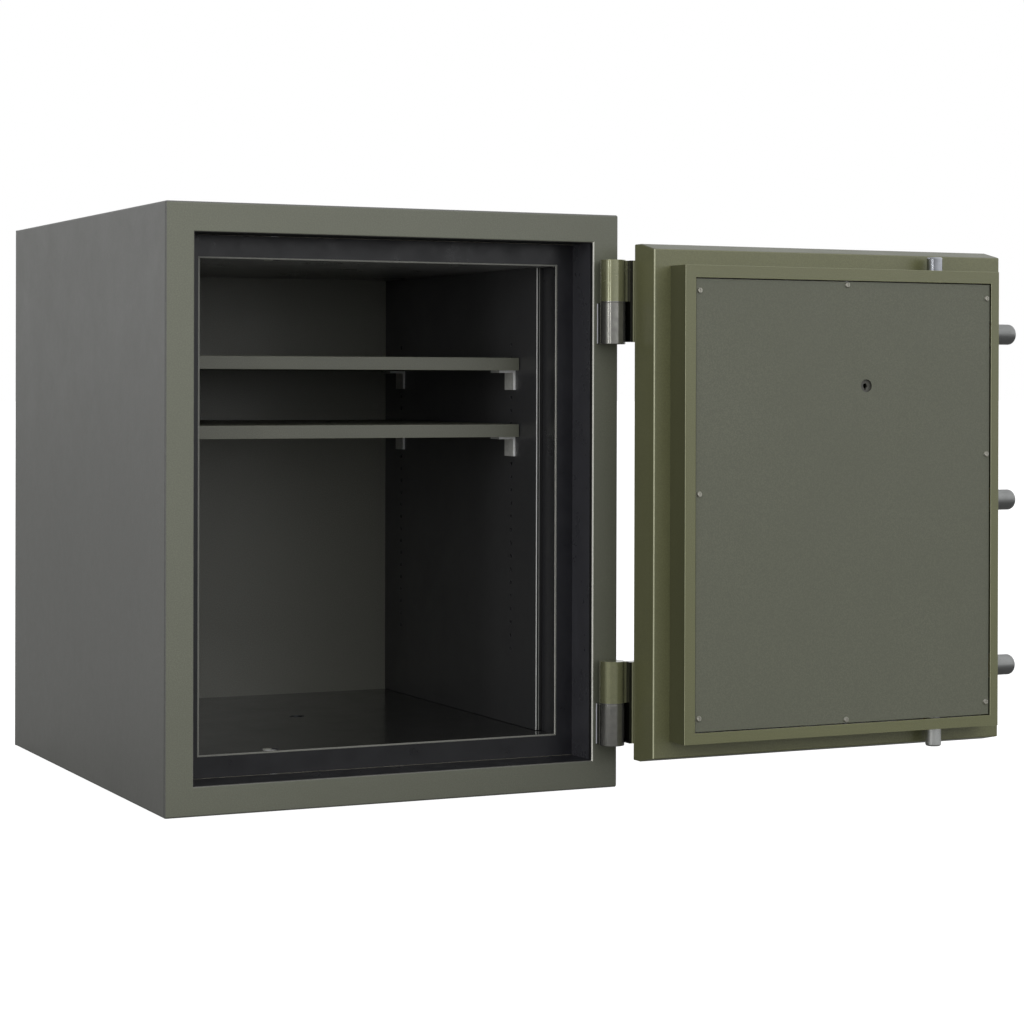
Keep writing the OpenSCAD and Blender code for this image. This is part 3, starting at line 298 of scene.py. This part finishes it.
# Polished steel for the top bolt; its length between 66 and 614 mm up, inside the door, is painted near black as
# shade.
BOLT_BRIGHT = worked_steel("bolt_bright", linear(150, 152, 156), rough=0.12, stretch=(1, 1, 0.05),
                           marks=0.1, bands=[(2, 66, 614, linear(30, 30, 26))])
# The bottom bolt's steel, made paler than the top bolt's as painted light.
BOLT_PAINTED_LIGHT = worked_steel("bolt_painted_light", linear(215, 216, 212), rough=0.3, stretch=(1, 1, 0.05), marks=0.1)
# Copies of the breaker plastic: its top wall darker as painted shade, its right wall paler as painted light.
BREAKER_TOP_PAINTED_SHADE = moulded("breaker_top_painted_shade", linear(9, 9, 11), rough=0.5)
BREAKER_RIGHT_PAINTED_LIGHT = moulded("breaker_right_painted_light", linear(64, 64, 68), rough=0.3)
# The side panels' front flanges, with the painted highlight lines on both sides.
FLANGE = painted_steel("flange", linear(30, 30, 30), rough=0.34, wear_and_highlight=0.3,
                       bands=[(0, side * place - half, side * place + half, tone)
                              for place, half, tone in FLANGE_PAINTED_HIGHLIGHTS for side in (-1, 1)])
# The lug's left side: near black as painted shade, with a near-white painted highlight strip along its edge.
LUG_SIDE_SHADE_AND_HIGHLIGHT = painted_steel("lug_side", linear(20, 20, 18), wear_and_highlight=0.1,
                         bands=[(1, -326.0, -322.0, linear(240, 240, 245))])
# The lock cover seen through the hole in the inner cover, darkened as painted shade.
LOCK_PAINTED_SHADE = plated_steel("lock_painted_shade", linear(92, 91, 84), 0.6, 0.0)
GAP_SHADE = moulded("gap_shade", linear(28, 28, 24), rough=0.7)
# A darker olive as painted shade on the door frame's faces that look left.
OLIVE_PAINTED_SHADE = painted_steel("olive_painted_shade", linear(90, 91, 63), rough=0.36, edge=1.8, coat=0.25,
                            grain=0.7)
OLIVE_DUSTY = painted_steel("olive_dusty", linear(100, 101, 82), rough=0.5, coat=0.05, grain=0.7)
LIP_SHADE = painted_steel("lip_shade", linear(30, 30, 30), rough=0.4, edge=1.2, wear_and_highlight=0.2)
# The zinc of the shelf clips, darker on their faces that look left as painted shade.
CLIP_SIDE_PAINTED_SHADE = plated_steel("clip_side_painted_shade", linear(196, 196, 190), 0.42, 0.0)
SCREW_STEEL = worked_steel("screw_steel", linear(186, 184, 172), rough=0.4, marks=0.3)
MARK_WHITE = moulded("mark_white", linear(228, 228, 222), rough=0.5, grain=0.2)


# ---------- mesh helpers ----------

SMOOTH_ANGLE = 38       # degrees: shading stays sharp above the first, an edge is rounded above the
ROUND_ANGLE = 28        # second, and faces that meet flatter than the third are one face
FLAT_ANGLE = 0.4
SQUARE_ON = 0.9         # a face looks along an axis when its normal goes this far along it


def place_piece(name, mesh, body, material, stands_for=(), others=()):
    """A new piece on a body, with smooth shading that keeps its sharp edges."""
    piece = bpy.data.objects.new(name, mesh)
    bpy.context.scene.collection.objects.link(piece)
    for each in (material, *others):
        mesh.materials.append(each)
    mesh.shade_smooth()
    mesh.set_sharp_from_angle(angle=math.radians(SMOOTH_ANGLE))
    weighted = piece.modifiers.new("weighted", "WEIGHTED_NORMAL")
    weighted.keep_sharp = True
    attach(piece, body)
    if stands_for:
        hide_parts(*stands_for)
    return piece


def place_built(bm, name, body, slot, node):
    """A piece built here that stands for a CAD node and wears its slot's look."""
    place_piece(name, to_mesh(bm, name), body, LOOKS[slot], (node,))


def sharp_edges(bm, where):
    found = []
    for edge in bm.edges:
        if len(edge.link_faces) != 2 or edge.calc_face_angle(0) < math.radians(ROUND_ANGLE):
            continue
        if where is None or where((edge.verts[0].co + edge.verts[1].co) / 2):
            found.append(edge)
    return found


def clean_copy(node):
    """The CAD node's mesh with its split corners welded and its flat faces whole."""
    bm = bmesh.new()
    bm.from_mesh(NODES[node].data)
    bmesh.ops.remove_doubles(bm, verts=bm.verts, dist=0.004 * MM)
    bmesh.ops.dissolve_limit(bm, angle_limit=math.radians(FLAT_ANGLE), verts=bm.verts, edges=bm.edges)
    return bm


def to_mesh(bm, name):
    mesh = bpy.data.meshes.new(name)
    bm.to_mesh(mesh)
    bm.free()
    for attribute in ("custom_normal", "sharp_face", "sharp_edge"):
        if attribute in mesh.attributes:
            mesh.attributes.remove(mesh.attributes[attribute])
    return mesh


def soften(node, rounds, material=None, others=()):
    """A copy of a CAD node with rounded edges stands for it. rounds: (width in mm, segments, where).
    others: (material, test) pairs, and a face takes the first one whose test it meets."""
    bm = clean_copy(node)
    for width, segments, where in rounds:
        edges = sharp_edges(bm, where)
        bmesh.ops.bevel(bm, geom=edges, offset=width * MM, offset_type="OFFSET", segments=segments,
                        profile=0.5, affect="EDGES", clamp_overlap=True)
    for face in bm.faces:
        face.material_index = next((order + 1 for order, pair in enumerate(others) if pair[1](face)), 0)
    mesh = to_mesh(bm, node + "_finished")
    slot = SLOT_OF[node]
    place_piece(node + "_finished", mesh, BODY_OF[node], material or LOOKS[slot], (node,),
                [pair[0] for pair in others])


def facing(axis, way, limit=SQUARE_ON):
    """A test for faces that look along an axis (0, 1 or 2), with way 1 or -1."""
    return lambda face: way * face.normal[axis] > limit


def join_rings(bm, rings):
    """Skins a closed tube over rings of points and caps both ends."""
    rows = [[bm.verts.new(point) for point in ring] for ring in rings]
    count = len(rows[0])
    for lower, upper in zip(rows, rows[1:]):
        for step in range(count):
            after = (step + 1) % count
            bm.faces.new((lower[step], lower[after], upper[after], upper[step]))
    bm.faces.new(list(reversed(rows[0])))
    bm.faces.new(rows[-1])
    bmesh.ops.recalc_face_normals(bm, faces=bm.faces)


def turned(bm, profile, centre, steps=96, shape=None):
    """Turns a profile of (radius, height) points in mm about the line through centre along +Y."""
    rings = []
    for radius, height in profile:
        ring = []
        for step in range(steps):
            angle = 2 * math.pi * step / steps
            reach = radius * (shape(angle, height) if shape else 1)
            offset = Vector((math.cos(angle) * reach, height, math.sin(angle) * reach))
            ring.append(Vector(centre) + offset * MM)
        rings.append(ring)
    join_rings(bm, rings)


# ---------- cabinet ----------

shell_low, shell_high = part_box("outer_shell")
FRONT = shell_low.y
LINER_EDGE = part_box("inner_liner")[0].y
RIM_RIGHT = 252 * MM
# x from which the liner's front edge takes a painted highlight
HIGHLIGHT_FROM = 222 * MM
RIM_ROUND = 1.6         # rounding round the opening, in mm
EDGE_DEPTH = 0.6 * MM   # faces this close to a sheet's front edge belong to that edge


def near(value, target):
    return abs(value - target) < 0.2 * MM


def on_shell_corner(point):
    sides = [near(point.x, shell_low.x) or near(point.x, shell_high.x),
             near(point.z, shell_low.z) or near(point.z, shell_high.z),
             near(point.y, FRONT)]
    return sum(sides) >= 2


def on_opening_edge(point):
    return near(point.y, FRONT)


def on_lip_end(point):
    return not near(point.y, FRONT) and point.y < FRONT + 9 * MM


def on_lip(face):
    """The folded lip inside the opening, which is as dark as the frame behind it."""
    return FRONT + RIM_ROUND * MM < face.calc_center_median().y < FRONT + 10 * MM


def on_lug_side(face):
    """The flat left side of the lug that carries a cabinet knuckle."""
    return face.normal.x < -0.99 and face.calc_area() > 100 * MM * MM


def on_highlit_rim(face):
    """The rounded edge down the right of the opening, which takes a painted highlight."""
    centre = face.calc_center_median()
    at_rim = 0 < centre.x < RIM_RIGHT and centre.y < FRONT + RIM_ROUND * MM
    return at_rim and -0.95 < face.normal.x < -0.2


soften("outer_shell",
       [(2.4, 4, on_shell_corner), (RIM_ROUND, 3, on_opening_edge), (0.5, 2, on_lip_end)],
       others=[(HIGHLIGHT_EDGE, on_highlit_rim), (RIM_PAINTED_LIGHT, facing(1, -1)), (LIP_SHADE, on_lip)])
soften("back_panel", [(1.0, 2, None)])
soften("breaker_frame", [(0.5, 2, None)],
       others=[(BREAKER_RIGHT_PAINTED_LIGHT, facing(0, -1)), (BREAKER_TOP_PAINTED_SHADE, facing(2, -1))])


def on_liner_edge(face):
    return face.calc_center_median().y < LINER_EDGE + EDGE_DEPTH


def on_highlit_liner_side(face):
    """The liner's front edge down the right, where the door's frame slides in, which takes a painted highlight."""
    return on_liner_edge(face) and face.calc_center_median().x > HIGHLIGHT_FROM


LINER_PARTS = [(HIGHLIGHT_EDGE, on_highlit_liner_side), (DULL_EDGE, on_liner_edge), (LINER_BACK_PAINTED_LIGHT, facing(1, -1)),
               (LINER_FLOOR_PAINTED_SHADE, facing(2, 1)), (LINER_CEILING_PAINTED_LIGHT, facing(2, -1))]
soften("inner_liner", [(0.45, 2, lambda point: point.y < LINER_EDGE + 1 * MM)], others=LINER_PARTS)
PANEL_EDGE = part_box("left_side_panel")[0].y
for panel in ("left_side_panel", "right_side_panel"):
    soften(panel, [(0.5, 2, lambda point: point.y < PANEL_EDGE + 2 * MM)],
           others=[(FLANGE, lambda face: face.calc_center_median().y < PANEL_EDGE + EDGE_DEPTH)])
for shelf in ("upper_shelf", "lower_shelf"):
    shelf_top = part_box(shelf)[1].z
    soften(shelf, [(1.2, 3, lambda point: point.z > shelf_top - 1 * MM)])
soften("shelf_clips", [(0.5, 2, None)], others=[(CLIP_SIDE_PAINTED_SHADE, facing(0, -1))])
soften("lower_hinge_knuckles", [(0.9, 3, None)], others=[(LUG_SIDE_SHADE_AND_HIGHLIGHT, on_lug_side)])


# ---------- door ----------

def on_lit_edge(face):
    """The rounded upright edges on the door's hinge side, where the gloss is brightest."""
    return face.normal.x < -0.12 and face.normal.y < -0.12 and abs(face.normal.z) < 0.3


soften("door_skin", [(2.0, 4, None)],
       others=[(OLIVE_PAINTED_HIGHLIGHT, on_lit_edge), (OLIVE_DUSTY, facing(2, 1, 0.5))])
cover_low, cover_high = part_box("inner_cover")
COVER_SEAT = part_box("door_frame")[0].y + 0.8 * MM


def on_cover_gap(face):
    """The walls of the recess round the inner cover."""
    centre = face.calc_center_median()
    near_side = min(abs(centre.x - cover_low.x), abs(centre.x - cover_high.x),
                    abs(centre.z - cover_low.z), abs(centre.z - cover_high.z)) < 3 * MM
    return near_side and centre.y > COVER_SEAT


soften("door_frame", [(1.2, 3, None)],
       others=[(GAP_SHADE, on_cover_gap), (OLIVE_PAINTED_HIGHLIGHT, on_lit_edge), (OLIVE_PAINTED_SHADE, facing(0, -1))])
soften("inner_cover", [(0.35, 2, None)])
soften("cover_screws", [(0.25, 2, None)], SCREW_STEEL)
soften("upper_hinge_knuckles", [(0.9, 3, None)])
soften("side_bolts", [(0.4, 2, None)])
soften("top_bolt", [(0.4, 2, None)], BOLT_BRIGHT)
soften("bottom_bolt", [(0.4, 2, None)], BOLT_PAINTED_LIGHT)


# ---------- dial and handle on the door's outer face ----------

DIAL_FACE = 9           # height of the dial's marked face above its base, in mm
NUMERAL_RADIUS = 25.4
MARKS_OUTER = 32.3      # graduations: outer end, then inner end and half width for each kind
TENTH_MARK = (28.6, 0.42)
FIFTH_MARK = (29.8, 0.24)
UNIT_MARK = (30.6, 0.24)


def arc(radius, height, bend, start, end, steps=4):
    """Profile points on an arc about (radius, height), angles in degrees."""
    points = []
    for step in range(steps + 1):
        angle = math.radians(start + (end - start) * step / steps)
        points.append((radius + bend * math.cos(angle), height + bend * math.sin(angle)))
    return points


def knurl(angle, height):
    """40 ridges round the dial knob's grip."""
    return 1 + 0.022 * math.cos(40 * angle) if 12.5 < height < 24.5 else 1


def squared(part):
    """Fills a circle's cosine or sine out towards a rounded square."""
    return abs(part) ** 0.75 * math.copysign(1, part)


def plate_mark(bm, corners):
    """A thin raised mark on the dial: corners as (right, up) seen from outside, in mm."""
    rings = []
    for level in (DIAL_FACE - 0.1, DIAL_FACE + 0.12):
        rings.append([DIAL + Vector((-right, level, up)) * MM for right, up in corners])
    join_rings(bm, rings)


ring_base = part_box("dial_ring")[0].y
dial_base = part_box("dial_knob")[0].y
dial_line = Vector(JOINTS["dial_turn"]["pos_m"])
DIAL = Vector((dial_line.x, dial_base, dial_line.z))
RING = Vector((dial_line.x, ring_base, dial_line.z))

bm = bmesh.new()
turned(bm, [(41.4, 0), (42, 0.5), (42, 4.4)] + arc(40.6, 4.6, 1.4, 0, 90) + [(37.6, 6), (37.0, 5.5)],
       RING)
place_built(bm, "dial_ring_turned", "door", "handle_chrome", "dial_ring")
INDEX_CORNERS = ((0, 36.9), (1.5, 41), (-1.5, 41))
bm = bmesh.new()
join_rings(bm, [[RING + Vector((-right, level, up)) * MM for right, up in INDEX_CORNERS]
                for level in (5.9, 6.15)])
place_piece("index_mark", to_mesh(bm, "index_mark"), "door", MARK_WHITE)

bm = bmesh.new()
turned(bm, [(34.5, 0), (36, 0.8), (36, 2.6), (33.6, 8.2), (32.6, DIAL_FACE), (21.4, DIAL_FACE)]
       + arc(21.4, 11.4, 2.4, -90, -180) + [(19, 12.4), (19, 12.6), (19, 24.4), (19, 24.6)]
       + arc(17.4, 25.4, 1.6, 0, 90) + [(9, 27), (8.4, 26.4)], DIAL, 240, knurl)
place_built(bm, "dial_knob_turned", "dial", "dial_black", "dial_knob")

bm = bmesh.new()
for mark in range(100):
    turn = math.radians(3.6 * mark)
    inner, half = TENTH_MARK if mark % 10 == 0 else FIFTH_MARK if mark % 5 == 0 else UNIT_MARK
    outward = Vector((math.sin(turn), math.cos(turn)))
    across = Vector((math.cos(turn), -math.sin(turn)))
    corners = [outward * inner - across * half, outward * MARKS_OUTER - across * half,
               outward * MARKS_OUTER + across * half, outward * inner + across * half]
    plate_mark(bm, [(corner.x, corner.y) for corner in corners])
place_piece("dial_graduations", to_mesh(bm, "dial_graduations"), "dial", MARK_WHITE)

for mark in range(10):
    numeral = bpy.data.curves.new("numeral", "FONT")
    numeral.body = str(mark * 10)
    numeral.size = 5.4 * MM
    numeral.extrude = 0.12 * MM
    numeral.align_x = "CENTER"
    numeral.align_y = "CENTER"
    turn = math.radians(36 * mark)
    holder = bpy.data.objects.new("numeral", numeral)
    mesh = bpy.data.meshes.new_from_object(holder)
    bpy.data.objects.remove(holder)
    stand = Matrix(((-1, 0, 0), (0, 0, 1), (0, 1, 0))).to_4x4()
    spin = Matrix.Rotation(turn, 4, "Y")
    centre = Vector((-math.sin(turn) * NUMERAL_RADIUS, DIAL_FACE, math.cos(turn) * NUMERAL_RADIUS))
    place = Matrix.Translation(DIAL + centre * MM)
    mesh.transform(place @ spin @ stand)
    place_piece("dial_numeral_%02d" % (mark * 10), mesh, "dial", MARK_WHITE)

handle_line = Vector(JOINTS["handle_turn"]["pos_m"])
rose_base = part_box("handle_rose")[0].y
bm = bmesh.new()
turned(bm, [(25.5, 0), (26, 0.5), (26, 2.4)] + arc(24.4, 2.4, 1.6, 0, 90) + [(20.6, 4)]
       + arc(20.6, 5.6, 1.6, -90, -180) + [(19, 7.2), (18.2, 8)], (handle_line.x, rose_base, handle_line.z))
place_built(bm, "handle_rose_turned", "door", "handle_chrome", "handle_rose")

lever_low, lever_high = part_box("handle_lever")
LEVER_REACH = (handle_line.x - lever_low.x) / MM
LEVER_LIFT = (lever_high.y - lever_low.y) / MM
HUB = Vector((handle_line.x, lever_low.y, handle_line.z))
# Sections of the grip, in mm: distance from the hub, half height, half thickness, offset outwards
GRIP_SECTIONS = ((2, 9, 5.2, 0), (14, 8.8, 5.4, 0), (26, 7.6, 5.2, 0), (50, 6.6, 4.9, 0.4),
                 (74, 6.9, 5.0, 0.4), (94, 8.2, 5.5, 0), (104, 8.8, 5.6, -0.2),
                 (109.5, 8.0, 5.2, -0.4), (112.4, 6.0, 4.0, -0.6), (LEVER_REACH - 0.2, 2.4, 1.8, -0.8))
GRIP_STEPS = 36
bm = bmesh.new()
turned(bm, [(13.6, 0), (14.6, 0.8), (14.2, 8), (13.2, 15), (13.4, 20), (14.6, 26)]
       + arc(11.6, LEVER_LIFT - 3.4, 3.4, 0, 90, 5), HUB, 64)
rings = []
for along, tall, thick, out in GRIP_SECTIONS:
    ring = []
    for step in range(GRIP_STEPS):
        angle = 2 * math.pi * step / GRIP_STEPS
        up, side = squared(math.cos(angle)), squared(math.sin(angle))
        ring.append(HUB + Vector((-along, LEVER_LIFT - 7.2 + out + side * thick, up * tall)) * MM)
    rings.append(ring)
join_rings(bm, rings)
place_built(bm, "handle_lever_formed", "handle", "handle_chrome", "handle_lever")

OWN_LOOK = {"hinge_washers": LOOKS["hinge_steel"], "lock_cover": LOCK_PAINTED_SHADE}
for name, node in NODES.items():
    if node.hide_render:
        continue
    node.data.materials.clear()
    node.data.materials.append(OWN_LOOK.get(name, LOOKS[SLOT_OF[name]]))


# ---------- stage, light and camera ----------

FLOOR_HALF = 60         # m
BRIGHT_SIDE = (0.75, -0.5, 0.45)
ROOM_DIM = 0.57
ROOM_BRIGHT = 1.4


def to_camera(tree, seen, unseen):
    """Mixes two shaders: what the camera sees directly, and what lights and reflections meet."""
    path = tree.nodes.new("ShaderNodeLightPath")
    mix = tree.nodes.new("ShaderNodeMixShader")
    tree.links.new(path.outputs["Is Camera Ray"], mix.inputs[0])
    tree.links.new(unseen.outputs[0], mix.inputs[1])
    tree.links.new(seen.outputs[0], mix.inputs[2])
    return mix


def make_floor():
    """A pale floor that is white to the camera apart from a faint contact shadow."""
    mesh = bpy.data.meshes.new("floor")
    corners = [(x * FLOOR_HALF, y * FLOOR_HALF, 0) for x, y in ((-1, -1), (1, -1), (1, 1), (-1, 1))]
    mesh.from_pydata(corners, [], [(0, 1, 2, 3)])
    floor = bpy.data.objects.new("floor", mesh)
    bpy.context.scene.collection.objects.link(floor)
    look = Look("floor")
    cloud = look.noise(0.8, 3, 0.5)
    look.set(Base_Color=look.mix(cloud, (0.20, 0.20, 0.20, 1), (0.23, 0.23, 0.225, 1)), Roughness=0.9)
    glow = look.add("Emission", {"Color": (1, 1, 1, 1), "Strength": 0.95})
    seen = look.tree.nodes.new("ShaderNodeAddShader")
    look.tree.links.new(glow.outputs[0], seen.inputs[0])
    look.tree.links.new(look.shader.outputs[0], seen.inputs[1])
    mix = to_camera(look.tree, seen, look.shader)
    output = next(node for node in look.tree.nodes if node.type == "OUTPUT_MATERIAL")
    look.tree.links.new(mix.outputs[0], output.inputs[0])
    mesh.materials.append(look.material)
    floor.location.z = -0.5 * MM


def make_world():
    """White to the camera. The object sees a room that is bright to the right, in front and above,
    and dim on the other side."""
    world = bpy.data.worlds.new("studio")
    bpy.context.scene.world = world
    world.use_nodes = True
    tree = world.node_tree
    tree.nodes.clear()
    output = tree.nodes.new("ShaderNodeOutputWorld")
    backdrop = tree.nodes.new("ShaderNodeBackground")
    room = tree.nodes.new("ShaderNodeBackground")
    room.inputs["Color"].default_value = (0.97, 0.98, 1.0, 1)
    heading = tree.nodes.new("ShaderNodeTexCoord")
    toward = tree.nodes.new("ShaderNodeVectorMath")
    toward.operation = "DOT_PRODUCT"
    toward.inputs[1].default_value = Vector(BRIGHT_SIDE).normalized()
    tree.links.new(heading.outputs["Generated"], toward.inputs[0])
    ramp = tree.nodes.new("ShaderNodeMapRange")
    limits = {"From Min": -0.2, "From Max": 0.9, "To Min": ROOM_DIM, "To Max": ROOM_BRIGHT}
    for key, value in limits.items():
        ramp.inputs[key].default_value = value
    tree.links.new(toward.outputs["Value"], ramp.inputs["Value"])
    tree.links.new(ramp.outputs[0], room.inputs["Strength"])
    mix = to_camera(tree, backdrop, room)
    backdrop.inputs["Color"].default_value = (1, 1, 1, 1)
    tree.links.new(mix.outputs[0], output.inputs[0])


def soft_light(name, place, target, size, power):
    """A rectangular softbox, size as (width, height)."""
    light = bpy.data.lights.new(name, "AREA")
    light.shape = "RECTANGLE"
    light.size, light.size_y = size
    light.energy = power
    lamp = bpy.data.objects.new(name, light)
    bpy.context.scene.collection.objects.link(lamp)
    lamp.location = place
    lamp.rotation_euler = (Vector(target) - Vector(place)).to_track_quat("-Z", "Y").to_euler()


def make_camera():
    """0.48 m up, in front and to the left of the open safe: a long lens with a vertical shift."""
    yaw, pitch, roll = math.radians(25.29), math.radians(-0.20), math.radians(0.15)
    level = math.cos(pitch)
    forward = Vector((math.sin(yaw) * level, math.cos(yaw) * level, math.sin(pitch)))
    right = Vector((math.cos(yaw), -math.sin(yaw), 0))
    up = right.cross(forward)
    right, up = (right * math.cos(roll) + up * math.sin(roll),
                 up * math.cos(roll) - right * math.sin(roll))
    data = bpy.data.cameras.new("camera")
    data.sensor_width = 36
    data.lens = 91.64
    data.shift_y = -0.1169
    camera = bpy.data.objects.new("camera", data)
    bpy.context.scene.collection.objects.link(camera)
    turn = Matrix((right, up, -forward)).transposed().to_4x4()
    camera.matrix_world = Matrix.Translation((-1.158, -3.0715, 0.480)) @ turn
    bpy.context.scene.camera = camera


make_floor()
make_world()
soft_light("strip_left", (-2.58, -1.46, 0.6), (0.26, -0.34, 0.4), (0.22, 2.0), 9)
soft_light("strip_front", (-2.07, -2.29, 0.6), (0.26, -0.34, 0.4), (0.16, 2.0), 7)
soft_light("strip_rear", (-1.87, 1.19, 0.8), (0.66, -0.42, 0.4), (0.3, 2.0), 10)
make_camera()
bpy.context.scene.view_settings.view_transform = "Standard"
